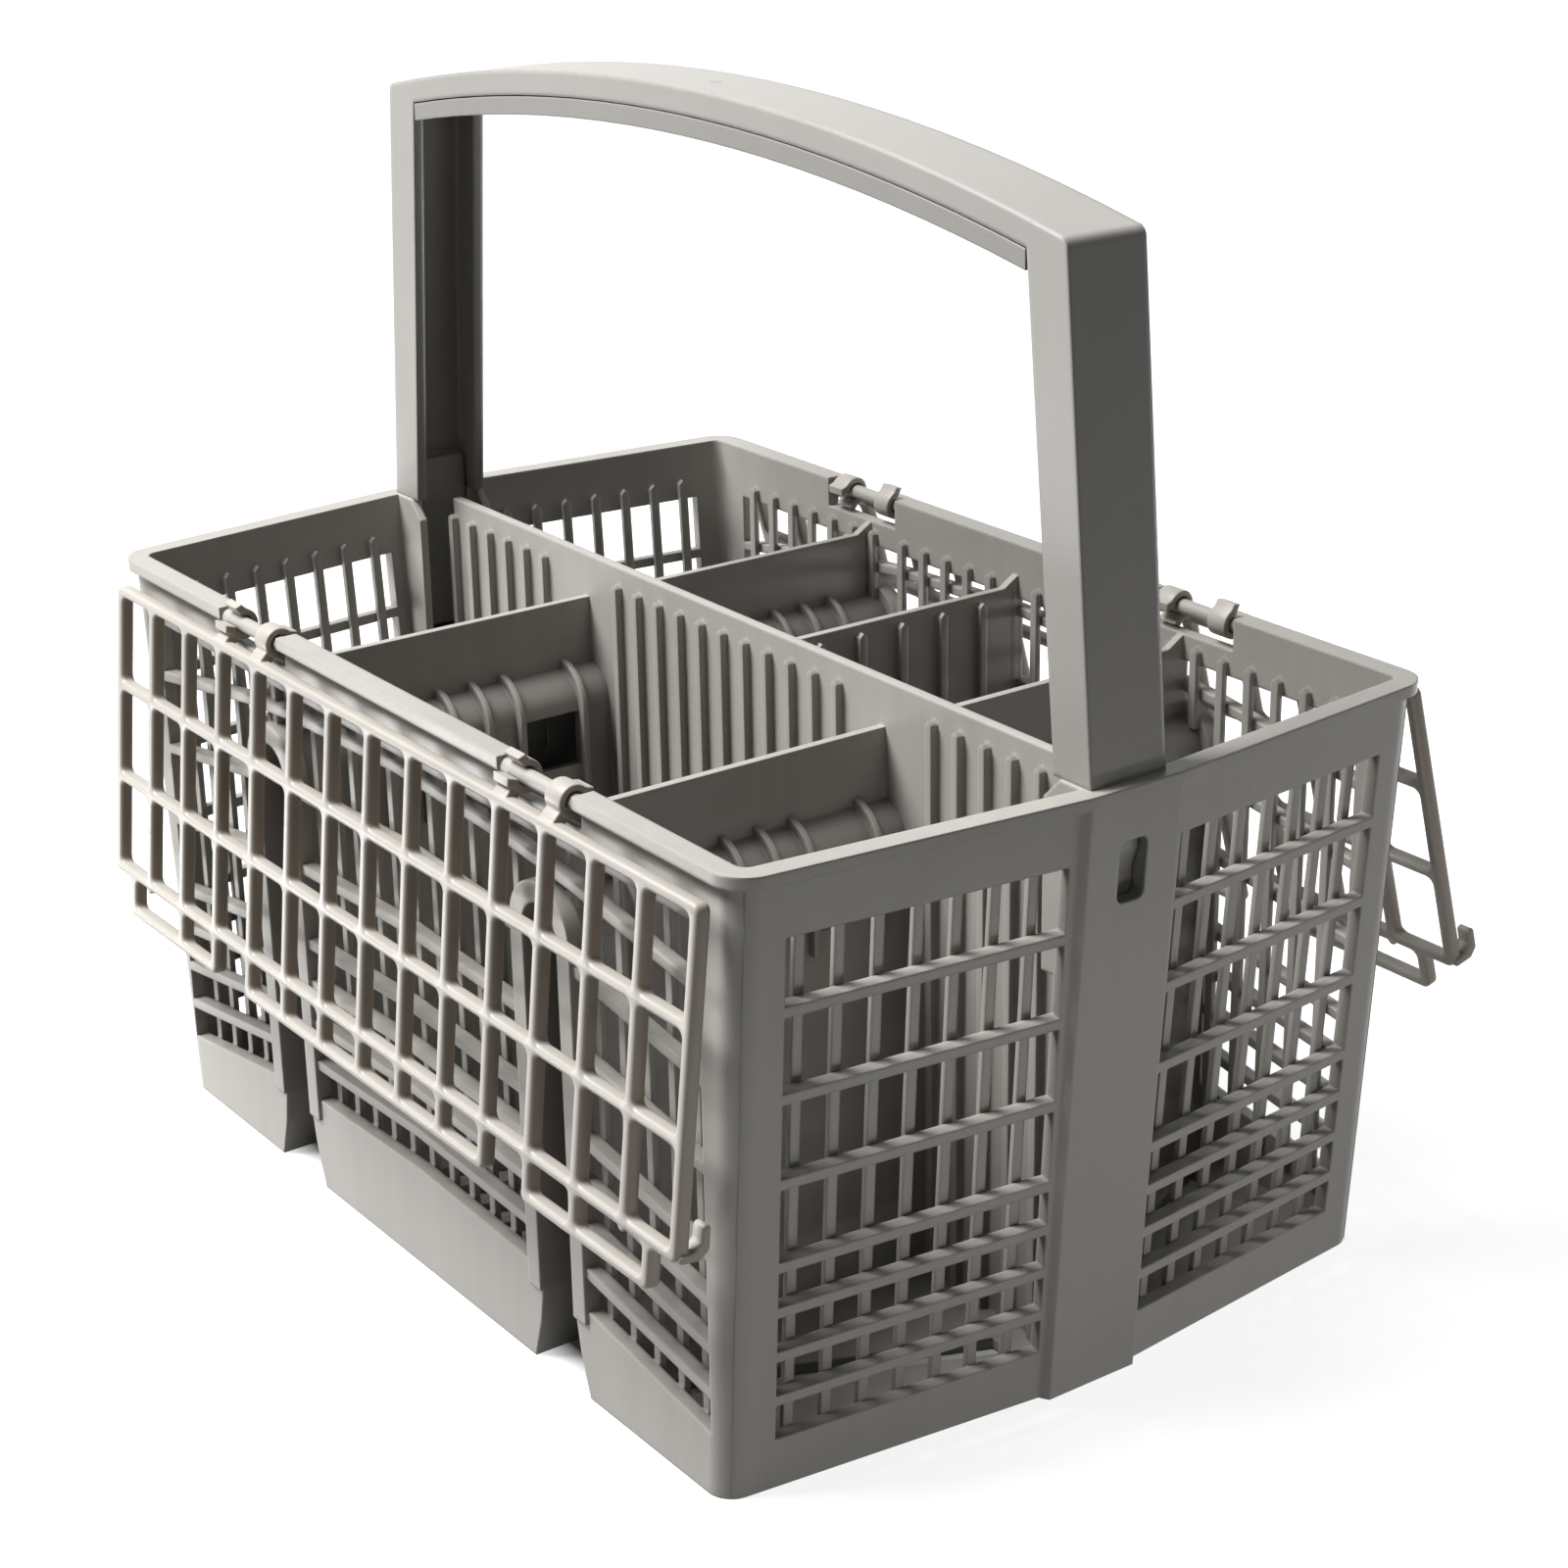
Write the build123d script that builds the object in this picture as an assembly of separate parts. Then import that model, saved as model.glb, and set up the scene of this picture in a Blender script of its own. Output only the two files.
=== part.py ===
from build123d import *
import math
import os

# Basket shell, in millimetres, Z up, origin under the middle of the base
rim_height = 119.0
wall = 2.7
front_y = 75.4
corner_top = 110.3
corner_base = 101.6
end_bow = 7.0
corner_radius = 5.0
floor_thick = 2.4
lip_out = 1.7
lip_high = 2.4

# Bar lattice: level bars left between slots in the wall, upright ribs behind them
bar_high = 2.0
rib_wide = 1.9
rib_proud = 1.4
rib_tip_below_rim = 8.0
rib_foot = 4.0
rib_relief = 0.2
rib_pitch = 7.5
tall_pitch = 16.1
short_pitch = 8.9
tall_bars = 4
short_bars = 3
long_window_half = 98.5
long_window_top = 11.7
long_first_bar = 14.5
long_bar_radius = 530.0
middle_ribs_each_side = 5
outer_ribs = 5
outer_first_rib = 63.0
end_window_from_corner = 10.0
end_window_from_pilaster = 1.6
end_window_top = 12.7
end_first_bar = 26.2
end_first_rib = 6.6
end_ribs = 7

# Pilaster and handle socket in the middle of each end
pilaster_half = 10.0
pilaster_slope = 2.5
socket_half = 9.0
socket_inner_x = 105.2
socket_deep = 36.0
cheek = 1.7
cheek_slope = 4.0
snap_slot_half = 3.1
snap_slot_top = 9.9
snap_slot_high = 11.6
snap_slot_radius = 1.5

# Channels for the rack wires, running under the cross walls
channel_x = 50.3
channel_half = 5.65
channel_wall = 1.6
channel_flange = 4.05
flange_proud = 0.6
channel_crown_below_rim = 24.6
mouth_half = 9.4
mouth_high = 15.5
mouth_knee_half = 6.8
mouth_knee_high = 8.5
fin_proud = 1.9
fin_thick = 1.3
fin_first_y = 8.0
fin_count = 8
fin_drop = 16.0
side_window_fin = 1
side_window_high = 12.0
arch_facets = 4

# Partition and cross walls
partition = 2.0
cross_wall = 1.8
cross_below_rim = 9.0
flare_wide = 3.8
flare_rise = 2.3
partition_rib_below_rim = 3.3
partition_rib_wide = 1.7
partition_rib_proud = 1.6
partition_outer_rib = 65.8
partition_outer_ribs = 6
divider_ribs = 6

# Slanted drain slots in the floor
slot_wide = 6.0
slot_gap = 3.4
slot_shift = 26.0
slot_margin = 6.0
outer_slots = 1
middle_slots = 5

# Lids and their hinges
pin_radius = 1.5
pin_y = 75.2
pin_below_rim = 2.0
pin_clear = 0.3
hinge_x = 53.0
notch_half = 12.0
notch_deep = 6.4
notch_reach = 4.0
lid_half = 105.3
lid_bars = 15
lid_offset = 3.4
lid_drop = 4.3
lid_row = 20.0
lid_rows = 3
lid_tail = 8.1
lid_bar = 2.2
lid_rail = 2.0
lid_deep = 3.0
clip_outer = 3.1
clip_long = 5.0
clip_mouth = 2.3
clip_arm = 2.4
clip_sides = 8
bore_sides = 10
clip_mouth_turns = (150.0, -20.0)
catch_reach = 5.2
catch_long = 6.2
catch_thick = 1.7
catch_wide = 3.2
front_lean = 6.0
rear_lean = 15.0

# Handle, standing on the two pilasters
handle_half = 8.3
leg_inset = 2.6
leg_deep = 9.4
leg_lean = 8.2
shoulder_deep = 9.8
grip_rise = 83.6
grip_bow = 9.4
shoulder_high = 6.6
crown_bow = 11.6
insert_high = 3.9
seam = 0.25
web = 2.6
flange = 2.2
shoulder_radius = 2.0
tongue_inset = 6.4
tongue_thick = 4.2
tongue_half = 5.4
tongue_long = 30.0
tongue_root = 8.0
socket_clear = 0.3
tab_reach = 2.0
tab_gap = 0.5
key_half = 5.7
key_inset = 8.0
leg_outer_foot = corner_top + end_bow + lip_out - leg_inset
leg_inner_foot = leg_outer_foot - leg_deep
shoulder_x = leg_outer_foot - leg_lean
grip_x = shoulder_x - shoulder_deep
shoulder_rise = grip_rise + shoulder_high
crown_rise = shoulder_rise + crown_bow
tongue_x = leg_outer_foot - tongue_inset


def block(x0, x1, y0, y1, z0, z1):
    """A box between two corners."""
    middle = Pos((x0 + x1) / 2, (y0 + y1) / 2, (z0 + z1) / 2)
    return middle * Box(x1 - x0, y1 - y0, z1 - z0)


def face(points):
    """A flat face through 3-D points."""
    return Face(Wire.make_polygon([Vector(*p) for p in points]))


def four_ways(shape):
    """A shape with its mirror images in both ends and both sides."""
    pair = [shape, shape.mirror(Plane.YZ)]
    return pair + [s.mirror(Plane.XZ) for s in pair]


def corner_x(z):
    """Half length of the shell at the corners, at a height."""
    return corner_base + (corner_top - corner_base) * z / rim_height


def plan(z, grow):
    """Eight-sided plan of the shell at a height, every side moved out by the same amount."""
    slope = end_bow / (front_y - pilaster_half)
    draft = (corner_top - corner_base) / rim_height
    x = corner_x(z) + grow * math.hypot(1, slope, draft)
    y = front_y + grow
    corner = x - slope * grow
    right = [(corner, -y), (x + end_bow, -pilaster_half), (x + end_bow, pilaster_half), (corner, y)]
    return [(a, b, z) for a, b in right + [(-a, -b) for a, b in right]]


def between(low, top):
    """A solid with flat sides between two outlines of as many points."""
    count = len(low)
    sides = []
    for i in range(count):
        j = (i + 1) % count
        sides.append(face([low[i], low[j], top[j], top[i]]))
    return Solid(Shell(sides + [face(low), face(top)]))


def shell_block(z0, z1, grow, radius):
    """The shell's outline as a solid, with its four corners rounded."""
    solid = between(plan(z0, grow), plan(z1, grow))
    upright = [e for e in solid.edges() if abs(e.tangent_at(0.5).Z) > 0.9]
    corners = [e for e in upright if abs(e.center().Y) > front_y / 2]
    return solid.fillet(radius, corners)


def gable(u, wide, low, high):
    """Outline of an upright rib with a pointed top: along the wall, and up."""
    half = wide / 2
    return [(u - half, low), (u + half, low), (u + half, high - half), (u, high), (u - half, high - half)]


def rib_along_x(x, low, high, y0, y1):
    """An upright rib between two Y values, its width along X."""
    outline = [(u, y0, v) for u, v in gable(x, partition_rib_wide, low, high)]
    return extrude(face(outline), amount=y1 - y0, dir=(0, 1, 0))


def lattice_rib(u, foot, sill, head, tip):
    """A rib behind a window: seated on the wall at its foot and head, just clear of the bars between."""
    outline = gable(u, rib_wide, foot, tip)
    rib = extrude(face([(a, b, 0) for a, b in outline]), amount=rib_proud, dir=(0, 0, -1))
    return rib - block(u - rib_wide, u + rib_wide, sill, head, -rib_relief, 1)


def bar_drops(first):
    """Drops of the level bars below the rim: tall rows above, short rows below, the sill last."""
    drops = [first + i * tall_pitch for i in range(tall_bars)]
    return drops + [drops[-1] + (i + 1) * short_pitch for i in range(short_bars + 1)]


def rib_columns(first, count):
    """Places of the ribs along a long wall: an even group in the middle and one towards each end."""
    middle = [k * rib_pitch for k in range(-middle_ribs_each_side, middle_ribs_each_side + 1)]
    outer = [first + i * rib_pitch for i in range(count)]
    return middle + outer + [-x for x in outer]


def tunnel_feet(x, feet, y):
    """Points down one side of a tunnel and up the other, spreading to its feet."""
    return [(x - w, y, z) for w, z in reversed(feet)] + [(x + w, y, z) for w, z in feet]


def tunnel_block(x, half, crown, feet, y0, y1):
    """A tunnel block along Y with a faceted round top, on spreading feet."""
    spring = crown - half
    points = tunnel_feet(x, feet, y0)
    for i in range(arch_facets + 1):
        turn = math.pi * i / arch_facets
        points.append((x + half * math.cos(turn), y0, spring + half * math.sin(turn)))
    return extrude(face(points), amount=y1 - y0, dir=(0, 1, 0))


def round_tunnel(x, half, crown, feet, y0, y1):
    """A tunnel block along Y with a half-round top, on spreading feet."""
    spring = crown - half
    points = tunnel_feet(x, feet, y0) + [(x + half, y0, spring), (x - half, y0, spring)]
    lower = extrude(face(points), amount=y1 - y0, dir=(0, 1, 0))
    return lower + Pos(x, (y0 + y1) / 2, spring) * Rot(90, 0, 0) * Cylinder(half, y1 - y0)


def saddle(x, radius, spring, y):
    """A thin fin over a tunnel and part of the way down its sides."""
    feet = [(radius, spring - fin_drop)]
    return tunnel_block(x, radius, spring + radius, feet, y - fin_thick / 2, y + fin_thick / 2)


def side_window(x, spring, y):
    """A window through one side of a tunnel, in place of a fin."""
    half = rib_pitch - fin_thick / 2
    reach = channel_half + channel_wall
    return block(x + cross_wall / 2, x + reach + 1, y - half, y + half, spring - side_window_high, spring)


def bow_drop(x):
    """How far the bars of a long wall fall from their middle, at a distance along it."""
    return x * x / (2 * long_bar_radius)


def bowed_slot(stops, top_drop, low_drop, top_level):
    """A slot through the wall at negative Y, between two bowed bars or under a level head."""
    head = [(x, rim_height - top_drop - (0 if top_level else bow_drop(x))) for x in stops]
    foot = [(x, rim_height - low_drop - bow_drop(x)) for x in reversed(stops)]
    outline = [(x, -front_y - 1, z) for x, z in head + foot]
    return extrude(face(outline), amount=wall + 2, dir=(0, 1, 0))


def long_wall():
    """Slots, inner ribs and arch frames of the wall at negative Y."""
    near = channel_x - channel_half - channel_flange
    far = channel_x + channel_half + channel_flange
    middle = [-near, 0, near]
    outer = [far, long_window_half]
    mirrored = [-x for x in reversed(outer)]
    whole = mirrored + middle + outer
    drops = bar_drops(long_first_bar)
    half = bar_high / 2
    slots = [bowed_slot(whole, long_window_top, drops[0] - half, True)]
    slots.append(bowed_slot(whole, drops[0] + half, drops[1] - half, False))
    for above, below in zip(drops[1:], drops[2:]):
        for stops in (mirrored, middle, outer):
            slots.append(bowed_slot(stops, above + half, below - half, False))
    crown = rim_height - channel_crown_below_rim + channel_flange
    head = rim_height - long_window_top
    tip = rim_height - rib_tip_below_rim
    ribs = []
    for x in rib_columns(outer_first_rib, outer_ribs):
        sill = rim_height - drops[-1] + half - bow_drop(x)
        ribs.append(lattice_rib(x, sill - rib_foot, sill, head, tip))
    for i in (1, 2):
        for x in (outer_first_rib - i * rib_pitch, i * rib_pitch - outer_first_rib):
            ribs.append(lattice_rib(x, crown - channel_flange, crown, head, tip))
    inner = -front_y + wall
    upright = Plane(origin=(0, inner, 0), x_dir=(1, 0, 0), z_dir=(0, -1, 0))
    ribs = [upright * r for r in ribs]
    frames = []
    for x in (-channel_x, channel_x):
        wide = channel_half + channel_flange
        feet = [(wide, mouth_high)]
        frames.append(round_tunnel(x, wide, crown, feet, -front_y - flange_proud, inner))
    return slots, ribs, frames


def end_panel_plane():
    """Outer face of the half panel beside the corner at positive X, negative Y, and its length."""
    run = Vector(end_bow, front_y - pilaster_half, 0)
    rise = Vector((corner_top - corner_base) / rim_height, 0, 1)
    return Plane(origin=(corner_base, -front_y, 0), x_dir=run, z_dir=run.cross(rise)), run.length


def end_panel():
    """Slots and inner ribs of one half panel of an end wall."""
    plane, length = end_panel_plane()
    lean = math.hypot(1, (corner_top - corner_base) / rim_height)
    left = end_window_from_corner
    right = length - end_window_from_pilaster
    drops = bar_drops(end_first_bar)
    half = bar_high / 2
    heads = [end_window_top] + [d + half for d in drops[:-1]]
    slots = []
    for head, bar in zip(heads, drops):
        low = (rim_height - bar + half) * lean
        high = (rim_height - head) * lean
        slots.append(block(left, right, low, high, -wall - 1, 1))
    sill = (rim_height - drops[-1] + half) * lean
    head = (rim_height - end_window_top) * lean
    tip = (rim_height - rib_tip_below_rim) * lean
    ribs = []
    for i in range(end_ribs):
        u = length - end_first_rib - i * rib_pitch
        ribs.append(Pos(0, 0, -wall) * lattice_rib(u, sill - rib_foot, sill, head, tip))
    return [plane * s for s in slots], [plane * r for r in ribs]


def pilaster():
    """The proud strip in the middle of the end at positive X, with slanted flanks."""
    rings = []
    wide = pilaster_half + pilaster_slope
    for z in (0.0, rim_height - lip_high / 2):
        x = corner_x(z) + end_bow
        flank = [(x - wall, -wide, z), (x + lip_out, -pilaster_half, z)]
        rings.append(flank + [(a, -b, c) for a, b, c in reversed(flank)])
    return between(rings[0], rings[1])


def handle_socket():
    """Two cheeks behind the pilaster with the handle's tongue between them, and their cuts."""
    back = corner_x(rim_height) + end_bow - wall / 2
    foot = rim_height - socket_deep
    outline = [(socket_inner_x, foot), (back, foot), (back, rim_height)]
    outline += [(socket_inner_x + cheek_slope, rim_height), (socket_inner_x, rim_height - cheek_slope)]
    points = [(x, -socket_half, z) for x, z in outline]
    solid = extrude(face(points), amount=2 * socket_half, dir=(0, 1, 0))
    low = rim_height - tongue_long - 1
    reach = tongue_half + socket_clear
    open_half = socket_half - cheek
    front = block(socket_inner_x - 1, tongue_x - socket_clear, -open_half, open_half, low, rim_height + 1)
    cavity = block(tongue_x - 1, tongue_x + tongue_thick + socket_clear, -reach, reach, low, rim_height + 1)
    middle = Pos(corner_top + end_bow, 0, rim_height - snap_slot_top - snap_slot_high / 2)
    slot = middle * Box(12, 2 * snap_slot_half, snap_slot_high)
    slot = slot.fillet(snap_slot_radius, slot.edges().filter_by(Axis.X))
    return solid, [front, cavity, slot]


def hinge_notch(side):
    """Cuts and pins of the two hinges on the long wall at this side."""
    cuts = []
    pins = []
    y = side * pin_y
    for x in (-hinge_x, hinge_x):
        notch = Box(2 * notch_half, 2 * notch_reach, 2 * notch_deep)
        cuts.append(Pos(x, y, rim_height) * notch)
        pin = Rot(0, 90, 0) * Cylinder(pin_radius, 2 * notch_half + 2)
        pins.append(Pos(x, y, rim_height - pin_below_rim) * pin)
    return cuts, pins


def cross_wall_at(x, side):
    """A cross wall from the partition to a long wall, rising a little at the long wall."""
    inner = front_y - wall / 2
    face_y = front_y - wall
    top = rim_height - cross_below_rim
    lifted = top + flare_rise
    outline = [(0, 1), (inner, 1), (inner, lifted), (face_y, lifted), (face_y - flare_wide, top), (0, top)]
    points = [(x - cross_wall / 2, side * y, z) for y, z in outline]
    return extrude(face(points), amount=cross_wall, dir=(1, 0, 0))


def inside():
    """Partition, cross walls and their ribs."""
    seat = end_bow - wall / 2
    under = rim_height - socket_deep
    side = [(corner_x(1) + seat, 1), (corner_x(under) + seat, under)]
    side += [(socket_inner_x, under), (socket_inner_x, rim_height)]
    outline = side + [(-x, z) for x, z in reversed(side)]
    solids = [extrude(face([(x, -partition / 2, z) for x, z in outline]), amount=partition, dir=(0, 1, 0))]
    for x in (-channel_x, channel_x):
        solids += [cross_wall_at(x, -1), cross_wall_at(x, 1)]
    solids.append(cross_wall_at(0, 1))
    columns = rib_columns(partition_outer_rib, partition_outer_ribs)
    near = -partition / 2
    top = rim_height - partition_rib_below_rim
    solids += [rib_along_x(x, 1, top, near - partition_rib_proud, near) for x in columns]
    pitch = (front_y - wall) / (divider_ribs + 1)
    tip = rim_height - cross_below_rim - rib_proud
    for i in range(1, divider_ribs + 1):
        outline = [(cross_wall / 2, u, v) for u, v in gable(i * pitch, partition_rib_wide, 1, tip)]
        solids.append(extrude(face(outline), amount=partition_rib_proud, dir=(1, 0, 0)))
    return solids


def tunnels():
    """Channel tunnels with their saddle fins, and the channels cut through them."""
    solids = []
    cuts = []
    reach = front_y - wall / 2
    crown = rim_height - channel_crown_below_rim
    feet = [(mouth_half, 0), (mouth_knee_half, mouth_knee_high), (channel_half, mouth_high)]
    walls = [(w + channel_wall, z) for w, z in feet]
    through = [(mouth_half, -1)] + feet
    for x in (-channel_x, channel_x):
        outer = channel_half + channel_wall
        solids.append(tunnel_block(x, outer, crown + channel_wall, walls, -reach, reach))
        fin = outer + fin_proud
        spring = crown + channel_wall - outer
        for i in range(fin_count):
            for y in (fin_first_y + i * rib_pitch, -fin_first_y - i * rib_pitch):
                if i == side_window_fin:
                    window = side_window(x, spring, y)
                    cuts += [window, Pos(x, 0, 0) * (Pos(-x, 0, 0) * window).mirror(Plane.YZ)]
                else:
                    solids.append(saddle(x, fin, spring, y))
        cuts.append(round_tunnel(x, channel_half, crown, through, -front_y - 2, front_y + 2))
    return solids, cuts


def slanted_slot(x):
    """A drain slot from a long wall towards the partition, slanting along X."""
    y0 = -front_y + wall + slot_margin
    y1 = -partition / 2 - slot_margin
    low = [(x, y0), (x + slot_wide, y0), (x + slot_wide + slot_shift, y1), (x + slot_shift, y1)]
    return extrude(face([(a, b, -1) for a, b in low]), amount=floor_thick + 2, dir=(0, 0, 1))


def floor_slots():
    """Slanted drain slots in the three blocks of the floor."""
    pitch = slot_wide + slot_gap
    outer_start = channel_x + mouth_half + channel_wall + slot_gap
    middle_start = -(middle_slots * pitch - slot_gap + slot_shift) / 2
    slots = [slanted_slot(middle_start + i * pitch) for i in range(middle_slots)]
    for i in range(outer_slots):
        slot = slanted_slot(outer_start + i * pitch)
        slots += [slot, slot.mirror(Plane.YZ)]
    return slots + [s.mirror(Plane.XZ) for s in slots]


def basket_body():
    """The moulded basket: shell, lattices, sockets, channels and inside walls."""
    cavity = shell_block(floor_thick, rim_height + 1, -wall, corner_radius - wall)
    shell = shell_block(0, rim_height, 0, corner_radius)
    lip = shell_block(rim_height - lip_high, rim_height, lip_out, corner_radius + lip_out)
    panel_slots, panel_ribs = end_panel()
    wall_slots, wall_ribs, frames = long_wall()
    socket, socket_cuts = handle_socket()
    tunnel_solids, tunnel_cuts = tunnels()
    slots = [c for slot in panel_slots for c in four_ways(slot)]
    slots += wall_slots + [c.mirror(Plane.XZ) for c in wall_slots]
    strip = pilaster()
    body = shell + [lip, strip, strip.mirror(Plane.YZ)]
    body = body - [cavity]
    body = body - slots
    added = [r for rib in panel_ribs for r in four_ways(rib)]
    added += wall_ribs + [r.mirror(Plane.XZ) for r in wall_ribs]
    added += frames + [f.mirror(Plane.XZ) for f in frames]
    added += [socket, socket.mirror(Plane.YZ)]
    added += inside() + tunnel_solids
    body = body + added
    cuts = socket_cuts + [c.mirror(Plane.YZ) for c in socket_cuts] + tunnel_cuts + floor_slots()
    pins = []
    for side in (-1, 1):
        notch_cuts, notch_pins = hinge_notch(side)
        cuts += notch_cuts
        pins += notch_pins
    return (body - cuts) + pins


def lid_grid():
    """Flat grid of a lid, hanging down from its top rail in the XZ plane."""
    pitch = 2 * lid_half / (lid_bars - 1)
    xs = [-lid_half + i * pitch for i in range(lid_bars)]
    long_row = lid_row * lid_rows
    foot = long_row + lid_tail
    pieces = []
    for i in range(lid_rows + 1):
        pieces.append(Pos(0, -i * lid_row) * Rectangle(2 * lid_half + lid_bar, lid_rail))
    for i, x in enumerate(xs):
        reach = long_row if i in (0, lid_bars - 1) else foot
        pieces.append(Pos(x, -reach / 2) * Rectangle(lid_bar, reach + lid_rail))
    jog = xs[0] + pitch / 2
    for x in (jog, -jog):
        pieces.append(Pos(x, -(long_row + foot) / 2) * Rectangle(lid_bar, lid_tail + lid_rail))
    sections = [(jog, xs[3]), (xs[4], xs[10]), (xs[11], -jog)]
    for a, b in sections:
        pieces.append(Pos((a + b) / 2, -foot) * Rectangle(b - a + lid_bar, lid_rail))
    flat = Sketch() + pieces
    return extrude(Plane.XZ * flat, amount=lid_deep / 2, both=True)


def clip(x, mouth_turn):
    """A snap clip round the hinge pin with an arm to the lid's top rail."""
    long = math.hypot(lid_offset, lid_drop)
    turn = math.degrees(math.atan2(-lid_drop, -lid_offset))
    ring = RegularPolygon(clip_outer, clip_sides, major_radius=False)
    arm = Rot(0, 0, turn) * Pos(long / 2, 0) * Rectangle(long, clip_arm)
    bore = RegularPolygon(pin_radius + pin_clear, bore_sides, major_radius=False)
    mouth = Rot(0, 0, mouth_turn) * Pos(clip_outer, 0) * Rectangle(2 * clip_outer, clip_mouth)
    flat = ring + arm - bore - mouth
    return Pos(x - clip_long / 2, 0, 0) * extrude(Plane.YZ * flat, amount=clip_long)


def catch(x, side):
    """A hooked catch at the foot of a lid's end bar, turned to one side of the lid."""
    low = -lid_drop - lid_row * lid_rows - lid_rail / 2
    inner = catch_reach - catch_thick
    outline = [(0, low), (inner, low), (catch_reach, low + catch_thick), (catch_reach, low + catch_long)]
    outline += [(inner, low + catch_long), (inner, low + 2 * catch_thick)]
    outline += [(inner - catch_thick, low + catch_thick), (0, low + catch_thick)]
    points = [(x - catch_wide / 2, -lid_offset + side * y, z) for y, z in outline]
    return extrude(face(points), amount=catch_wide, dir=(1, 0, 0))


def lid(turn, lean, end):
    """A lid hanging from its hinge pins and leaning out, with a catch at one end."""
    grid = Pos(0, -lid_offset, -lid_drop) * lid_grid()
    pitch = 2 * lid_half / (lid_bars - 1)
    parts = [catch(end * lid_half, end)]
    for x in (-hinge_x, hinge_x):
        for step, mouth_turn in zip((-pitch / 2, pitch / 2), clip_mouth_turns):
            parts.append(clip(x + step, mouth_turn))
    hung = Rot(-lean, 0, 0) * (grid + parts)
    return Rot(0, 0, turn) * Pos(0, -pin_y, rim_height - pin_below_rim) * hung


def bow_face(foot, foot_z, top_x, top_z, crown_z):
    """Face under a line up a leg, over a crowned arc and down the other leg."""
    right = Polyline((foot, foot_z), (top_x, top_z))
    over = ThreePointArc((top_x, top_z), (0, crown_z), (-top_x, top_z))
    left = Polyline((-top_x, top_z), (-foot, foot_z))
    close = Line((-foot, foot_z), (foot, foot_z))
    return Plane.XZ * make_face(Curve() + [right, over, left, close])


def handle():
    """Bow handle: leaning channel legs, crowned grip and two snap tongues."""
    z = rim_height
    over = bow_face(leg_outer_foot, z, shoulder_x, z + shoulder_rise, z + crown_rise)
    outer = extrude(over, amount=handle_half, both=True)
    level = [e for e in outer.edges() if abs(e.center().Z - z - shoulder_rise) < 1]
    outer = outer.fillet(shoulder_radius, [e for e in level if abs(e.center().X) > grip_x])
    top = z + grip_rise + insert_high
    under = bow_face(leg_inner_foot, z, grip_x, top, top + grip_bow)
    roof = z + shoulder_rise - web
    hollow = bow_face(leg_outer_foot - web, z, shoulder_x - web, roof, roof + crown_bow)
    cuts = [extrude(under, amount=2 * handle_half, both=True)]
    cuts.append(extrude(hollow, amount=handle_half - flange, both=True))
    bow = outer - cuts
    tab_x = tongue_x + tongue_thick
    tongue = block(tongue_x, tab_x, -tongue_half, tongue_half, z - tongue_long, z + tongue_root)
    high = z - snap_slot_top - tab_gap
    low = high - snap_slot_high + 2 * tab_gap
    half = snap_slot_half - tab_gap
    tip_x = tab_x + tab_reach
    outline = [(tab_x - 1, low), (tab_x - 1, high), (tip_x, high), (tip_x, high - tab_reach)]
    tab = extrude(face([(x, -half, v) for x, v in outline]), amount=2 * half, dir=(0, 1, 0))
    feet = [tongue, tab]
    return bow + feet + [f.mirror(Plane.YZ) for f in feet]


def grip_insert():
    """Strip that closes the hollow grip from below, with a key up into the hollow."""
    z = rim_height
    low = z + grip_rise
    ends = grip_x - seam
    top = low + insert_high - seam
    upper = bow_face(ends, low - 2, ends, top, top + grip_bow)
    lower = bow_face(ends + 1, low - 3, ends + 1, low, low + grip_bow)
    strip = extrude(upper, amount=handle_half, both=True)
    strip = strip - extrude(lower, amount=2 * handle_half, both=True)
    key_x = grip_x - key_inset
    roof = z + shoulder_rise - web
    key_top = bow_face(shoulder_x - web, low, shoulder_x - web, roof, roof + crown_bow)
    key_low = bow_face(shoulder_x, low - 1, shoulder_x, low + 3, low + grip_bow + 1)
    key = extrude(key_top, amount=key_half, both=True) - extrude(key_low, amount=handle_half, both=True)
    key = key & block(-key_x, key_x, -handle_half, handle_half, z, z + crown_rise)
    return strip + key


os.makedirs("parts", exist_ok=True)
export_step(basket_body(), "parts/basket_body.step")
export_step(handle(), "parts/handle.step")
export_step(grip_insert(), "parts/grip_insert.step")
export_step(lid(0, front_lean, 1), "parts/front_lid.step")
export_step(lid(180, rear_lean, -1), "parts/rear_lid.step")
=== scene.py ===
import math

import bmesh
import bpy
from mathutils import Matrix, Vector


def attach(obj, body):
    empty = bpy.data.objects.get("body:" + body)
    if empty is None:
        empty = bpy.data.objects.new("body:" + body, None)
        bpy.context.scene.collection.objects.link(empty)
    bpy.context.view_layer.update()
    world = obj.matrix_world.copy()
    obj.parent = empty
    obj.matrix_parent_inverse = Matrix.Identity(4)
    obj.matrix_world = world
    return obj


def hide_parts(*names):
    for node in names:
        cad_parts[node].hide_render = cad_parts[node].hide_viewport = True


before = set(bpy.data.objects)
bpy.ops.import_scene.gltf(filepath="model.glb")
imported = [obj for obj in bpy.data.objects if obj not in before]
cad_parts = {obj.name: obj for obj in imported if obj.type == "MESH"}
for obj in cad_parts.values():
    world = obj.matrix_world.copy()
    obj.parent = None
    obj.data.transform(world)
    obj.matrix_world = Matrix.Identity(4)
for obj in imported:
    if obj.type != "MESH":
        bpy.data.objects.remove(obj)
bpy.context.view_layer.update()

# Colours of the moulded grey plastic, linear
BASKET_GREY = (0.325, 0.311, 0.286, 1)
HANDLE_GREY = (0.304, 0.293, 0.274, 1)
INSERT_GREY = (0.230, 0.222, 0.207, 1)
LID_GREY = (0.354, 0.332, 0.300, 1)
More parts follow.
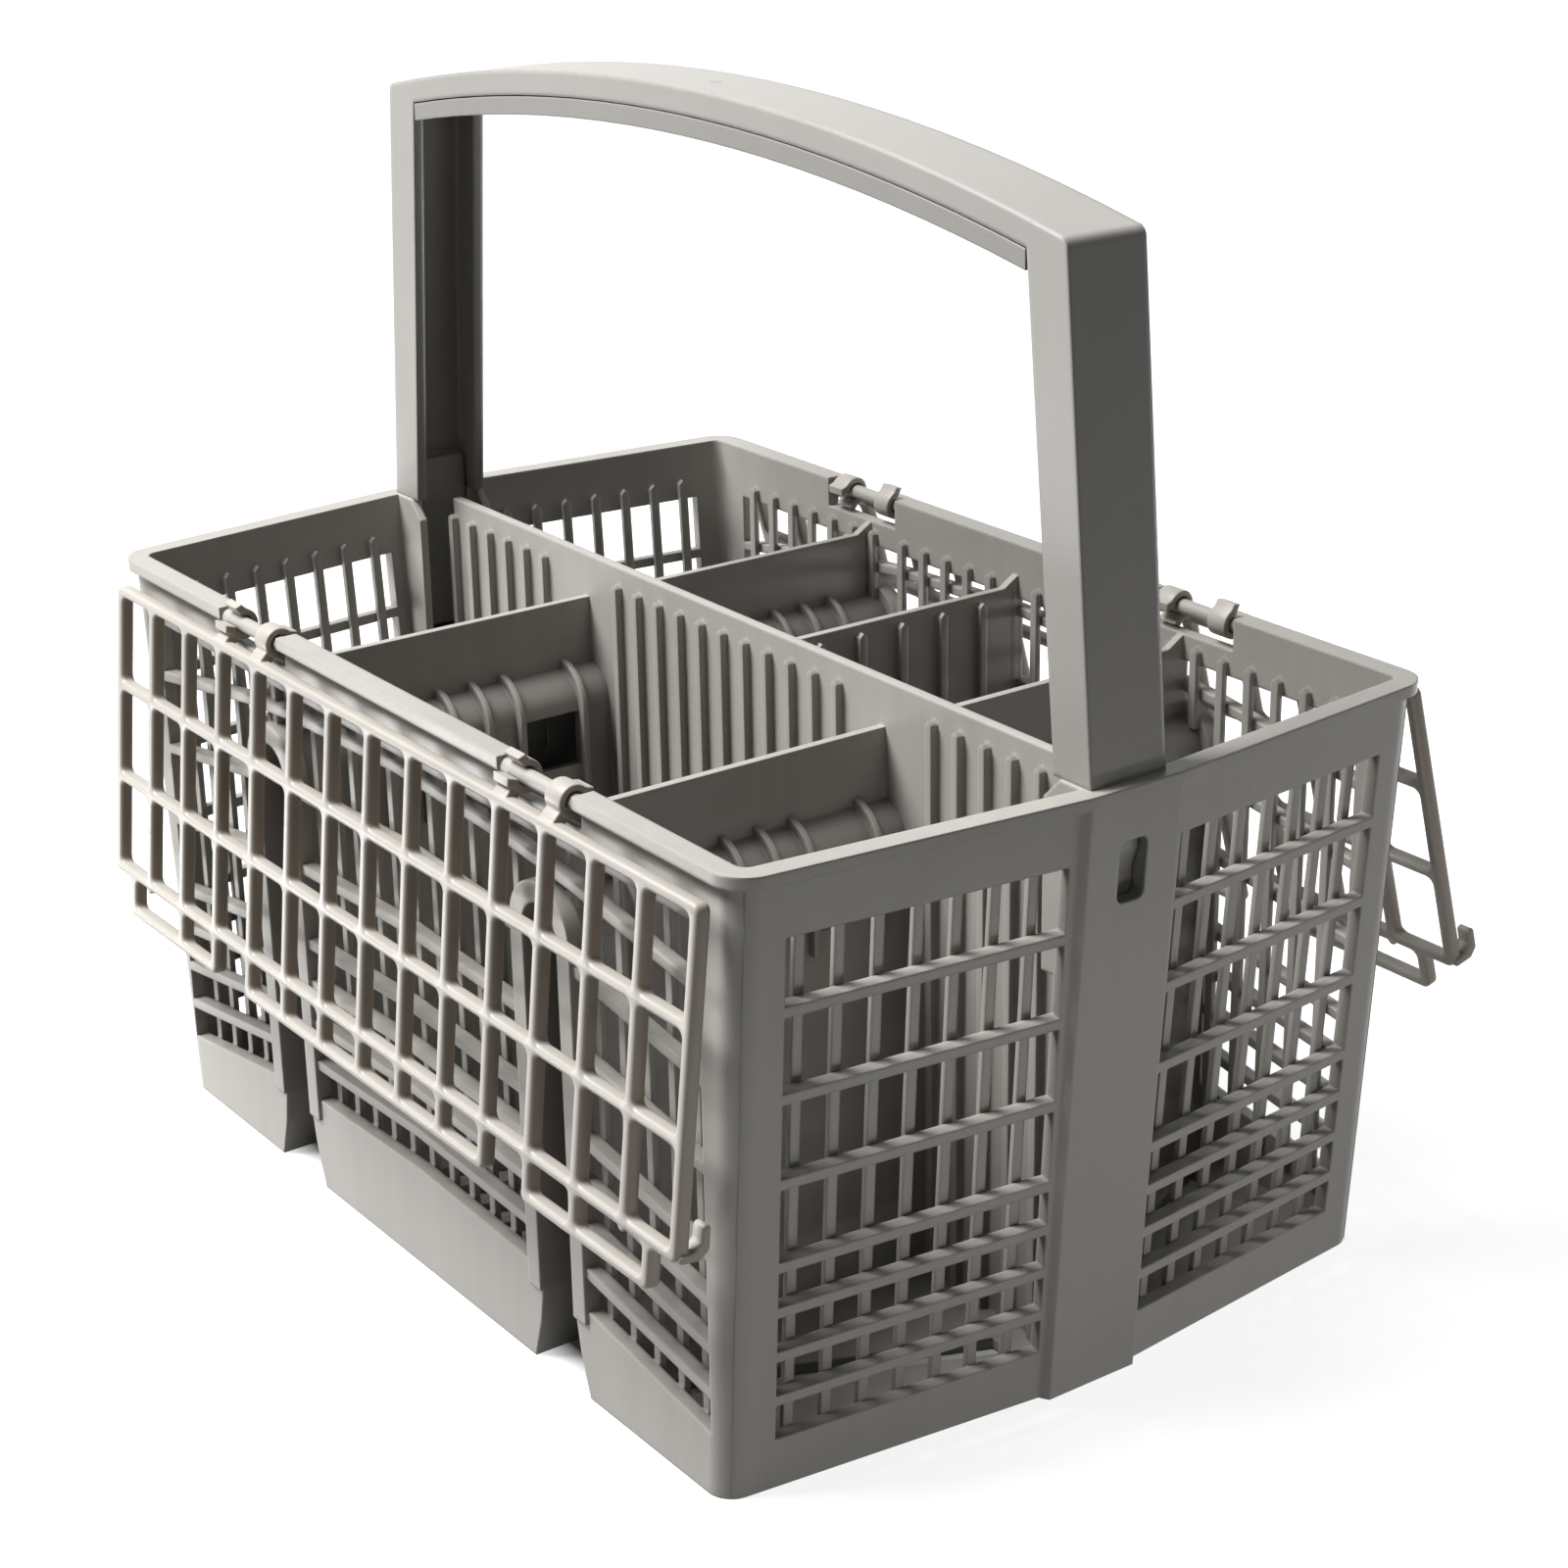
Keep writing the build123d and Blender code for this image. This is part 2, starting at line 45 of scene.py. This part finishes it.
# Painted shade: a darker, warmer colour for faces turned along the basket, used on the lids' bar sides
FLANK_SHADE = (0.80, 0.72, 0.64)

# Tone clouds, mould marks and grain, with a painted highlight on edges and painted shade deep in hollows
# and on the handle's inner faces: lengths in metres, changes of tone as shares
CLOUD_TONE = 0.035
EDGE_HIGHLIGHT = 0.20
GATE_RADIUS = 0.0009
GATE_TONE = 0.45
GATE_ABOVE = 0.2
INNER_SHADE = 0.45
CAVITY_REACH = 0.05
CAVITY_FULL_Z = 0.088
CAVITY_END_Z = 0.113
GRAIN_DEEP = 0.0001

# Sizes shared with the solids, in millimetres
MM = 0.001
PIN_Y = 75.2
PIN_Z = 117.0
PIN_RADIUS = 1.5
PIN_CLEAR = 0.3
HINGE_X = 53.0
LID_HALF = 105.3
LID_BARS = 15
LID_PITCH = 2 * LID_HALF / (LID_BARS - 1)
LID_OFFSET = 3.4
LID_DROP = 4.3
LID_ROW = 20.0
LID_ROWS = 3
LID_TAIL = 8.1
LID_BAR = 2.2
LID_RAIL = 2.0
LID_DEEP = 3.0
CLIP_OUTER = 3.1
CLIP_LONG = 5.0
CLIP_ARM = 2.4
CLIP_MOUTHS = (150.0, -20.0)
CATCH_REACH = 5.2
CATCH_LONG = 6.2
CATCH_THICK = 1.7
CATCH_WIDE = 3.2
FRONT_LEAN = 6.0
REAR_LEAN = 15.0
CHANNEL_X = 50.3
SPRING_Z = 88.75
FIN_FIRST_Y = 8.0
FIN_PITCH = 7.5
FIN_COUNT = 8
WINDOW_FIN = 1
WALL_INNER_Y = 72.7
PARTITION_HALF = 1.0

# Sizes of the finer forms, in millimetres
LID_EDGE = 0.75
LID_CORNER = 1.6
GUSSET = 1.4
KNOT = 2.1
KNOT_ROUND = 0.8
KNOT_EDGE = 0.5
KNOT_SINK = 0.1
CLIP_EDGE = 0.35
CLIP_ARM_INSET = 0.6
CLIP_ARM_ROUND = 0.4
CATCH_ROOT = 0.8
CATCH_ROUND = 0.9
CATCH_EDGE = 0.45
ARCH_INNER = 6.7
ARCH_OUTER = 7.3
ARCH_DROP = 0.3
FIN_OUTER = 9.2
FIN_DROP = 16.05
FIN_THICK = 1.4
FIN_EDGE = 0.3
BACK_INSET = 0.4
BACK_THICK = 0.6
BACK_BELOW = 13
BACK_ABOVE = 1
THIN_EDGE = 0.05
POST_FOOT = (101.05, 73.52, 0.3)
POST_HEAD = (109.50, 73.52, 116.0)
PARTING_RADIUS = 0.14

# Steps in round corners, clips and arches
ARC_STEPS = 5
CLIP_STEPS = 20
ARCH_STEPS = 16

# Turns from a drawing's plane to upright along the basket, and to upright across it
ALONG = Matrix(((1, 0, 0, 0), (0, 0, -1, 0), (0, 1, 0, 0), (0, 0, 0, 1)))
ACROSS = Matrix(((0, 0, 1, 0), (1, 0, 0, 0), (0, 1, 0, 0), (0, 0, 0, 1)))


def put(tree, made, name, value):
    """Sets one input of a node, or links it where the value is another node's output."""
    numbered = name[0] == "i" and name[1:].isdigit()
    socket = made.inputs[int(name[1:])] if numbered else made.inputs[name]
    if isinstance(value, bpy.types.NodeSocket):
        tree.links.new(value, socket)
    else:
        socket.default_value = value


def node(tree, kind, **sockets):
    """A new shader node with its input sockets set or linked, by name or as i0, i1 and so on."""
    made = tree.nodes.new(kind)
    for name, value in sockets.items():
        put(tree, made, name, value)
    return made


def maths(tree, kind, a, b=0.0):
    made = node(tree, "ShaderNodeMath", i0=a, i1=b)
    made.operation = kind
    return made.outputs[0]


def split(tree, vector):
    """The X, Y and Z outputs of a vector."""
    return node(tree, "ShaderNodeSeparateXYZ", i0=vector).outputs


def noise(tree, where, scale, detail=2.0, stretch=(1, 1, 1)):
    """Noise between 0 and 1, with the scale in features per metre."""
    spread = node(tree, "ShaderNodeMapping", Vector=where, Scale=tuple(scale * s for s in stretch))
    made = node(tree, "ShaderNodeTexNoise", Vector=spread.outputs[0], Scale=1.0, Detail=detail)
    put(tree, made, "Roughness", 0.55)
    return made.outputs[0]


def ranged(tree, value, low, high, to_low, to_high):
    made = node(tree, "ShaderNodeMapRange", i0=value, i1=low, i2=high, i3=to_low, i4=to_high)
    return made.outputs[0]


def from_middle(tree, spot):
    """How far a spot lies from the upright middle line."""
    along = maths(tree, "POWER", spot["X"], 2.0)
    across = maths(tree, "POWER", spot["Y"], 2.0)
    return maths(tree, "SQRT", maths(tree, "ADD", along, across))


def gate_mark(tree, where):
    """One on the small ring that the mould's gate leaves on top of the crown, and zero elsewhere."""
    spot = split(tree, where)
    off_ring = maths(tree, "SUBTRACT", from_middle(tree, spot), GATE_RADIUS)
    ring = ranged(tree, maths(tree, "ABSOLUTE", off_ring), 0.0001, 0.0004, 1.0, 0.0)
    return maths(tree, "MULTIPLY", ring, maths(tree, "GREATER_THAN", spot["Z"], GATE_ABOVE))


def inner_face(tree, where, normal):
    """One on faces that look back towards the middle of the handle, and zero elsewhere: where the handle's
    painted shade goes.
    """
    side = maths(tree, "SIGN", split(tree, where)["X"])
    inward = maths(tree, "MULTIPLY", split(tree, normal)["X"], side)
    return ranged(tree, inward, -0.9, -0.5, 1.0, 0.0)


def cavity_shade_mask(tree, where, alone):
    """Painted shade from ambient occlusion: one deep inside the basket where little light comes, falling to
    zero in the open and near the rim.
    """
    hidden = node(tree, "ShaderNodeAmbientOcclusion", Distance=CAVITY_REACH)
    hidden.samples = 6
    hidden.only_local = alone
    below = ranged(tree, split(tree, where)["Z"], CAVITY_FULL_Z, CAVITY_END_Z, 1.0, 0.0)
    closed_in = ranged(tree, hidden.outputs["AO"], 0.15, 0.65, 1.0, 0.0)
    return maths(tree, "MULTIPLY", closed_in, below)


def plastic(name, grey, streaks, grain, edge, rough, flank_shade=0.0, cavity_shade=0.0, alone=True, bow=False):
    """Satin moulded plastic: cloudy tone, flow streaks, a fine grain, a painted highlight on rounded edges,
    and where asked painted shade in hollows, on end-on sides and on the handle's inner faces.
    """
    made = bpy.data.materials.new(name)
    made.use_nodes = True
    tree = made.node_tree
    shader = tree.nodes["Principled BSDF"]
    where = node(tree, "ShaderNodeTexCoord").outputs["Object"]
    clouds = noise(tree, where, 28, 3)
    flow = noise(tree, where, 230, 2, (1, 1, 0.035))
    fine = noise(tree, where, 2600, 1)
    soft = node(tree, "ShaderNodeBevel", Radius=edge)
    soft.samples = 4
    flat = node(tree, "ShaderNodeNewGeometry").outputs["True Normal"]
    turn = node(tree, "ShaderNodeVectorMath", i0=soft.outputs[0], i1=flat)
    turn.operation = "DOT_PRODUCT"
    # Painted highlight: the colour turns paler on rounded edges, where they catch the light
    edge_highlight = ranged(tree, turn.outputs["Value"], 0.72, 0.99, EDGE_HIGHLIGHT, 0.0)
    patches = ranged(tree, clouds, 0.3, 0.7, -CLOUD_TONE, CLOUD_TONE)
    lines = ranged(tree, flow, 0.3, 0.7, -streaks, streaks)
    tone = maths(tree, "ADD", patches, lines)
    level = maths(tree, "ADD", maths(tree, "ADD", tone, 1.0), edge_highlight)
    # Painted shade deep inside the basket
    if cavity_shade:
        shade = maths(tree, "MULTIPLY", cavity_shade_mask(tree, where, alone), cavity_shade)
        level = maths(tree, "SUBTRACT", level, shade)
    if bow:
        marks = maths(tree, "MULTIPLY", gate_mark(tree, where), GATE_TONE)
        # Painted shade on the handle's faces that look towards its middle
        painted_inner_shade = maths(tree, "MULTIPLY", inner_face(tree, where, flat), INNER_SHADE)
        level = maths(tree, "SUBTRACT", maths(tree, "SUBTRACT", level, marks), painted_inner_shade)
    # Painted shade: faces turned along the basket blend to the darker, warmer shaded colour
    end_on = maths(tree, "ABSOLUTE", split(tree, soft.outputs[0])["X"])
    shaded_flank = node(tree, "ShaderNodeMix", i0=ranged(tree, end_on, 0.45, 0.85, 0.0, flank_shade))
    shaded_flank.data_type = "RGBA"
    shaded_flank.inputs[6].default_value = grey
    shaded_flank.inputs[7].default_value = [g * t for g, t in zip(grey, FLANK_SHADE)] + [1]
    colour = node(tree, "ShaderNodeVectorMath", i0=shaded_flank.outputs[2])
    colour.operation = "SCALE"
    put(tree, colour, "Scale", level)
    put(tree, shader, "Base Color", colour.outputs[0])
    patchy = ranged(tree, clouds, 0.3, 0.7, rough - 0.04, rough + 0.04)
    grainy = ranged(tree, fine, 0.3, 0.7, -0.03, 0.03)
    put(tree, shader, "Roughness", maths(tree, "ADD", patchy, grainy))
    bumps = node(tree, "ShaderNodeBump", Strength=grain, Distance=GRAIN_DEEP, Height=fine)
    put(tree, bumps, "Normal", soft.outputs[0])
    put(tree, shader, "Normal", bumps.outputs[0])
    shader.inputs["IOR"].default_value = 1.49
    shader.inputs["Specular IOR Level"].default_value = 0.5
    return made


def dress(name, material):
    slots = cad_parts[name].data.materials
    slots.clear()
    slots.append(material)


# The basket and the channel arches carry painted shade deep in their hollows; the arches' copy also counts
# other objects and is stronger
basket_plastic = plastic("basket_plastic", BASKET_GREY, 0.03, 0.22, 0.0008, 0.44, cavity_shade=0.55)
channel_plastic = plastic(
    "channel_plastic", BASKET_GREY, 0.03, 0.22, 0.0004, 0.46, cavity_shade=0.62, alone=False
)
handle_plastic = plastic("handle_plastic", HANDLE_GREY, 0.015, 0.15, 0.0012, 0.40, bow=True)
# The lids' bar sides take the painted shade colour
lid_plastic = plastic("lid_plastic", LID_GREY, 0.02, 0.15, 0.0004, 0.42, flank_shade=1.0)
insert_plastic = plastic("insert_plastic", INSERT_GREY, 0.015, 0.15, 0.0005, 0.46)
dress("basket_body", basket_plastic)
dress("handle", handle_plastic)
dress("grip_insert", insert_plastic)


def at(x, y, z):
    """A shift in millimetres."""
    return Matrix.Translation((x * MM, y * MM, z * MM))


def rounded(points, radius):
    """A closed outline with every corner rounded by an arc."""
    loop = []
    count = len(points)
    for i in range(count):
        here = Vector(points[i])
        to_last = Vector(points[i - 1]) - here
        to_next = Vector(points[(i + 1) % count]) - here
        room = min(to_last.length, to_next.length) * 0.49
        to_last.normalize()
        to_next.normalize()
        half = to_last.angle(to_next) / 2
        if math.degrees(half) > 85:
            loop.append(here)
            continue
        tangent = min(radius / math.tan(half), room)
        bend = tangent * math.tan(half)
        middle = here + (to_last + to_next).normalized() * bend / math.sin(half)
        start = here + to_last * tangent - middle
        finish = here + to_next * tangent - middle
        sweep = start.angle_signed(finish)
        for k in range(ARC_STEPS + 1):
            turn = -sweep * k / ARC_STEPS
            loop.append(middle + Matrix.Rotation(turn, 2) @ start)
    return loop


def curve_mesh(data):
    """The mesh of a curve, which is then deleted."""
    holder = bpy.data.objects.new("curve", data)
    mesh = bpy.data.meshes.new_from_object(holder)
    bpy.data.objects.remove(holder)
    bpy.data.curves.remove(data)
    return mesh


def plate(outlines, thick, edge, place):
    """A flat moulding with rounded edges from an outline and its holes in millimetres, at its place."""
    data = bpy.data.curves.new("plate", "CURVE")
    data.dimensions = "2D"
    data.fill_mode = "BOTH"
    data.extrude = (thick / 2 - edge) * MM
    data.bevel_depth = edge * MM
    data.bevel_resolution = 2
    data.offset = -edge * MM
    for loop in outlines:
        spline = data.splines.new("POLY")
        spline.points.add(len(loop) - 1)
        for point, (u, v) in zip(spline.points, loop):
            point.co = (u * MM, v * MM, 0, 1)
        spline.use_cyclic_u = True
    mesh = curve_mesh(data)
    mesh.transform(place)
    return mesh


def thread(start, stop, radius):
    """A fine straight ridge between two points in millimetres."""
    data = bpy.data.curves.new("thread", "CURVE")
    data.dimensions = "3D"
    data.bevel_depth = radius * MM
    data.bevel_resolution = 1
    data.use_fill_caps = True
    spline = data.splines.new("POLY")
    spline.points.add(1)
    for point, (x, y, z) in zip(spline.points, (start, stop)):
        point.co = (x * MM, y * MM, z * MM, 1)
    return curve_mesh(data)


def one_piece(name, meshes, material, body):
    """One object from several meshes, smooth but for its sharp edges, riding on a body."""
    whole = bmesh.new()
    for mesh in meshes:
        whole.from_mesh(mesh)
        bpy.data.meshes.remove(mesh)
    bmesh.ops.remove_doubles(whole, verts=whole.verts, dist=0.000002)
    joined = bpy.data.meshes.new(name)
    whole.to_mesh(joined)
    whole.free()
    joined.materials.append(material)
    joined.shade_smooth()
    joined.set_sharp_from_angle(angle=math.radians(38))
    made = bpy.data.objects.new(name, joined)
    bpy.context.collection.objects.link(made)
    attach(made, body)
    return made


def box_loop(u0, u1, v0, v1):
    return [(u0, v0), (u1, v0), (u1, v1), (u0, v1)]


def lid_outlines():
    """Outline and cells of a lid's grid, along the lid and up, with gussets where bars cross."""
    bar = LID_BAR / 2
    rail = LID_RAIL / 2
    deep = -LID_ROWS * LID_ROW
    foot = deep - LID_TAIL
    xs = [-LID_HALF + i * LID_PITCH for i in range(LID_BARS)]
    jog = xs[0] + LID_PITCH / 2
    tails = [(jog, xs[3]), (xs[4], xs[10]), (xs[11], -jog)]
    edge = [
        (LID_HALF + bar, deep - rail),
        (LID_HALF + bar, rail),
        (-LID_HALF - bar, rail),
        (-LID_HALF - bar, deep - rail),
    ]
    cells = []
    for start, stop in tails:
        left = start - bar
        right = stop + bar
        edge += [(left, deep - rail), (left, foot - rail), (right, foot - rail), (right, deep - rail)]
        posts = [start] + [x for x in xs[2:-2] if start < x < stop] + [stop]
        for a, b in zip(posts, posts[1:]):
            cells.append(box_loop(a + bar, b - bar, foot + rail, deep - rail))
    for row in range(LID_ROWS):
        low = -(row + 1) * LID_ROW + rail
        high = -row * LID_ROW - rail
        for a, b in zip(xs, xs[1:]):
            cells.append(box_loop(a + bar, b - bar, low, high))
    return [rounded(edge, LID_CORNER)] + [rounded(c, GUSSET) for c in cells]


def knot_outline():
    """The small swelling where two bars of a lid cross."""
    return rounded([(0, -KNOT), (KNOT, 0), (0, KNOT), (-KNOT, 0)], KNOT_ROUND)


def clip_outline(mouth):
    """A snap clip seen along the hinge pin, open towards an angle, with flared lips."""
    open_half = math.radians(40)
    start = math.radians(mouth) + open_half
    stop = math.radians(mouth) - open_half + 2 * math.pi
    turns = [start + (stop - start) * i / CLIP_STEPS for i in range(CLIP_STEPS + 1)]
    flare = [(0.9, -0.22), (1.1, 0.18), (0.1, 0.45)]
    lip = [(CLIP_OUTER + out, start + turn) for out, turn in flare]
    ring = [(CLIP_OUTER, t) for t in turns if start + 0.5 < t < stop - 0.5]
    far_lip = [(CLIP_OUTER + out, stop - turn) for out, turn in reversed(flare)]
    bore = [(PIN_RADIUS + PIN_CLEAR, t) for t in reversed(turns)]
    return [(r * math.cos(t), r * math.sin(t)) for r, t in lip + ring + far_lip + bore]


def arm_outline():
    """The arm from a clip to the lid's top rail, seen along the hinge pin."""
    long = math.hypot(LID_OFFSET, LID_DROP)
    turn = Matrix.Rotation(math.atan2(-LID_DROP, -LID_OFFSET), 2)
    box = box_loop(CLIP_OUTER - 1, long, -CLIP_ARM / 2, CLIP_ARM / 2)
    return rounded([turn @ Vector(p) for p in box], CLIP_ARM_ROUND)


def hook_outline(side):
    """The catch at the foot of an end bar, seen along the lid."""
    low = -LID_DROP - LID_ROWS * LID_ROW - LID_RAIL / 2
    inner = CATCH_REACH - CATCH_THICK
    points = [
        (-CATCH_ROOT, low),
        (inner, low),
        (CATCH_REACH, low + CATCH_THICK),
        (CATCH_REACH, low + CATCH_LONG),
        (inner, low + CATCH_LONG),
        (inner, low + 2 * CATCH_THICK),
        (inner - CATCH_THICK, low + CATCH_THICK),
        (-CATCH_ROOT, low + CATCH_THICK),
    ]
    return rounded([(-LID_OFFSET + side * y, z) for y, z in points], CATCH_ROUND)


def make_lid(name, turn, lean, end):
    """A lid with rounded bars, gussets, clips and its catch, in place of the plain one."""
    hang = Matrix.Rotation(math.radians(turn), 4, "Z") @ at(0, -PIN_Y, PIN_Z)
    hang = hang @ Matrix.Rotation(math.radians(-lean), 4, "X")
    grid = hang @ at(0, -LID_OFFSET, -LID_DROP) @ ALONG
    meshes = [plate(lid_outlines(), LID_DEEP, LID_EDGE, grid)]
    for row in range(1, LID_ROWS + 1):
        for i in range(1, LID_BARS - 1):
            place = grid @ at(i * LID_PITCH - LID_HALF, -row * LID_ROW, 0)
            meshes.append(plate([knot_outline()], LID_DEEP - 2 * KNOT_SINK, KNOT_EDGE, place))
    for x in (-HINGE_X, HINGE_X):
        for step, mouth in zip((-LID_PITCH / 2, LID_PITCH / 2), CLIP_MOUTHS):
            place = hang @ at(x + step, 0, 0) @ ACROSS
            meshes.append(plate([clip_outline(mouth)], CLIP_LONG, CLIP_EDGE, place))
            meshes.append(plate([arm_outline()], CLIP_LONG - CLIP_ARM_INSET, CLIP_EDGE, place))
    place = hang @ at(end * LID_HALF, 0, 0) @ ACROSS
    meshes.append(plate([hook_outline(end)], CATCH_WIDE, CATCH_EDGE, place))
    made = one_piece(name + "_smooth", meshes, lid_plastic, name)
    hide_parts(name)


make_lid("front_lid", 0, FRONT_LEAN, 1)
make_lid("rear_lid", 180, REAR_LEAN, -1)


def arch_outline(outer, inner, drop):
    """A round arch on two legs, across the channel and up."""
    turns = [math.pi * i / ARCH_STEPS for i in range(ARCH_STEPS + 1)]
    over = [(outer * math.cos(t), outer * math.sin(t)) for t in turns]
    under = [(inner * math.cos(t), inner * math.sin(t)) for t in reversed(turns)]
    return [(outer, -drop)] + over + [(-outer, -drop), (-inner, -drop)] + under + [(inner, -drop)]


def make_arches():
    """Round tunnel tops and round fins over the faceted ones."""
    tunnel = [arch_outline(ARCH_OUTER, ARCH_INNER, ARCH_DROP)]
    fin = [arch_outline(FIN_OUTER, ARCH_INNER, FIN_DROP)]
    long = WALL_INNER_Y - PARTITION_HALF
    meshes = []
    for x in (-CHANNEL_X, CHANNEL_X):
        for side in (-1, 1):
            middle = side * (PARTITION_HALF + long / 2)
            meshes.append(plate(tunnel, long, THIN_EDGE, at(x, middle, SPRING_Z) @ ALONG))
            for i in range(FIN_COUNT):
                if i == WINDOW_FIN:
                    continue
                y = side * (FIN_FIRST_Y + i * FIN_PITCH)
                meshes.append(plate(fin, FIN_THICK, FIN_EDGE, at(x, y, SPRING_Z) @ ALONG))
    one_piece("channel_arches", meshes, channel_plastic, "basket")


def make_window_backs():
    """The far sides of the channels behind their side windows."""
    back = [box_loop(-FIN_PITCH, FIN_PITCH, -BACK_BELOW, BACK_ABOVE)]
    middle = FIN_FIRST_Y + WINDOW_FIN * FIN_PITCH
    far = CHANNEL_X + ARCH_INNER - BACK_INSET
    meshes = []
    for x in (-far, far):
        for side in (-1, 1):
            meshes.append(plate(back, BACK_THICK, THIN_EDGE, at(x, side * middle, SPRING_Z) @ ACROSS))
    one_piece("window_backs", meshes, channel_plastic, "basket")


def make_parting_lines():
    """The fine line where the mould parted, up each corner post."""
    meshes = []
    for a in (-1, 1):
        for b in (-1, 1):
            foot, head = [(a * x, b * y, z) for x, y, z in (POST_FOOT, POST_HEAD)]
            meshes.append(thread(foot, head, PARTING_RADIUS))
    one_piece("parting_lines", meshes, basket_plastic, "basket")


make_arches()
make_window_backs()
make_parting_lines()


def background_rays(tree):
    """One for rays that show the background, straight, in a reflection or through glass."""
    path = node(tree, "ShaderNodeLightPath").outputs
    mirrored = maths(tree, "MAXIMUM", path["Is Glossy Ray"], path["Is Transmission Ray"])
    return maths(tree, "MAXIMUM", path["Is Camera Ray"], mirrored)


def pale_floor():
    """A pale floor that reads as white to the camera, keeps the shadow and stays dark under the basket."""
    made = bpy.data.materials.new("pale_floor")
    made.use_nodes = True
    tree = made.node_tree
    tree.nodes.clear()
    lit = node(tree, "ShaderNodeBsdfDiffuse", Color=(0.40, 0.40, 0.40, 1))
    dim = node(tree, "ShaderNodeBsdfDiffuse", Color=(0.06, 0.06, 0.06, 1))
    spot = split(tree, node(tree, "ShaderNodeTexCoord").outputs["Object"])
    beside = ranged(tree, maths(tree, "ABSOLUTE", spot["X"]), 0.094, 0.102, 0.0, 1.0)
    before = ranged(tree, maths(tree, "ABSOLUTE", spot["Y"]), 0.068, 0.075, 0.0, 1.0)
    level = ranged(tree, from_middle(tree, spot), 0.35, 1.0, 0.85, 1.0)
    clear = maths(tree, "MULTIPLY", maths(tree, "MAXIMUM", beside, before), level)
    glow = node(tree, "ShaderNodeEmission", Color=(1, 1, 1, 1), Strength=clear)
    both = node(tree, "ShaderNodeAddShader", i0=lit.outputs[0], i1=glow.outputs[0])
    seen = background_rays(tree)
    mixed = node(tree, "ShaderNodeMixShader", i0=seen, i1=dim.outputs[0], i2=both.outputs[0])
    node(tree, "ShaderNodeOutputMaterial", Surface=mixed.outputs[0])
    return made


def make_floor():
    mesh = bpy.data.meshes.new("floor")
    corners = [(u, v, 0) for u, v in box_loop(-6.0, 6.0, -6.0, 6.0)]
    mesh.from_pydata(corners, [], [(0, 1, 2, 3)])
    floor = bpy.data.objects.new("floor", mesh)
    floor.data.materials.append(pale_floor())
    bpy.context.collection.objects.link(floor)


def make_world(level):
    """A dim even surround for light, and white behind the object."""
    world = bpy.data.worlds.new("studio")
    world.use_nodes = True
    tree = world.node_tree
    tree.nodes.clear()
    fill = node(tree, "ShaderNodeBackground", Color=(1, 1, 1, 1), Strength=level)
    white = node(tree, "ShaderNodeBackground", Color=(1, 1, 1, 1), Strength=1.0)
    seen = background_rays(tree)
    mixed = node(tree, "ShaderNodeMixShader", i0=seen, i1=fill.outputs[0], i2=white.outputs[0])
    node(tree, "ShaderNodeOutputWorld", Surface=mixed.outputs[0])
    bpy.context.scene.world = world


def softbox(name, place, aim, wide, high, power):
    lamp = bpy.data.lights.new(name, "AREA")
    lamp.shape = "RECTANGLE"
    lamp.size = wide
    lamp.size_y = high
    lamp.energy = power
    made = bpy.data.objects.new(name, lamp)
    made.location = place
    made.rotation_euler = (Vector(aim) - Vector(place)).to_track_quat("-Z", "Y").to_euler()
    made.visible_camera = False
    bpy.context.collection.objects.link(made)


make_floor()
make_world(0.05)
softbox("key", (-0.38, -0.56, 1.10), (0, 0, 0.09), 0.6, 0.6, 36)
softbox("near_left", (-0.20, -0.24, 0.01), (-0.06, -0.07, 0.015), 0.16, 0.03, 0.36)
softbox("right_fill", (0.24, 0.0, 0.01), (0.11, 0, 0.01), 0.30, 0.03, 0.080)
softbox("back_fill", (0, 0.42, 0.06), (0, 0.08, 0.06), 0.40, 0.06, 0.9)


def make_camera():
    """The camera where the photograph was taken from, with its slight roll."""
    data = bpy.data.cameras.new("camera")
    data.sensor_width = 36
    data.lens = 71.77
    data.clip_start = 0.01
    data.clip_end = 50
    camera = bpy.data.objects.new("camera", data)
    azimuth, elevation, roll = (math.radians(a) for a in (-35.51, 21.15, -1.04))
    outward = Vector((math.cos(azimuth), math.sin(azimuth), 0))
    back = math.cos(elevation) * outward + Vector((0, 0, math.sin(elevation)))
    level = Vector((-math.sin(azimuth), math.cos(azimuth), 0))
    rise = back.cross(level)
    right = math.cos(roll) * level + math.sin(roll) * rise
    up = math.cos(roll) * rise - math.sin(roll) * level
    turn = Matrix((right, up, back)).transposed().to_4x4()
    camera.matrix_world = Matrix.Translation((0.47798, -0.32851, 0.30714)) @ turn
    bpy.context.collection.objects.link(camera)
    bpy.context.scene.camera = camera


make_camera()
bpy.context.scene.view_settings.view_transform = "Standard"
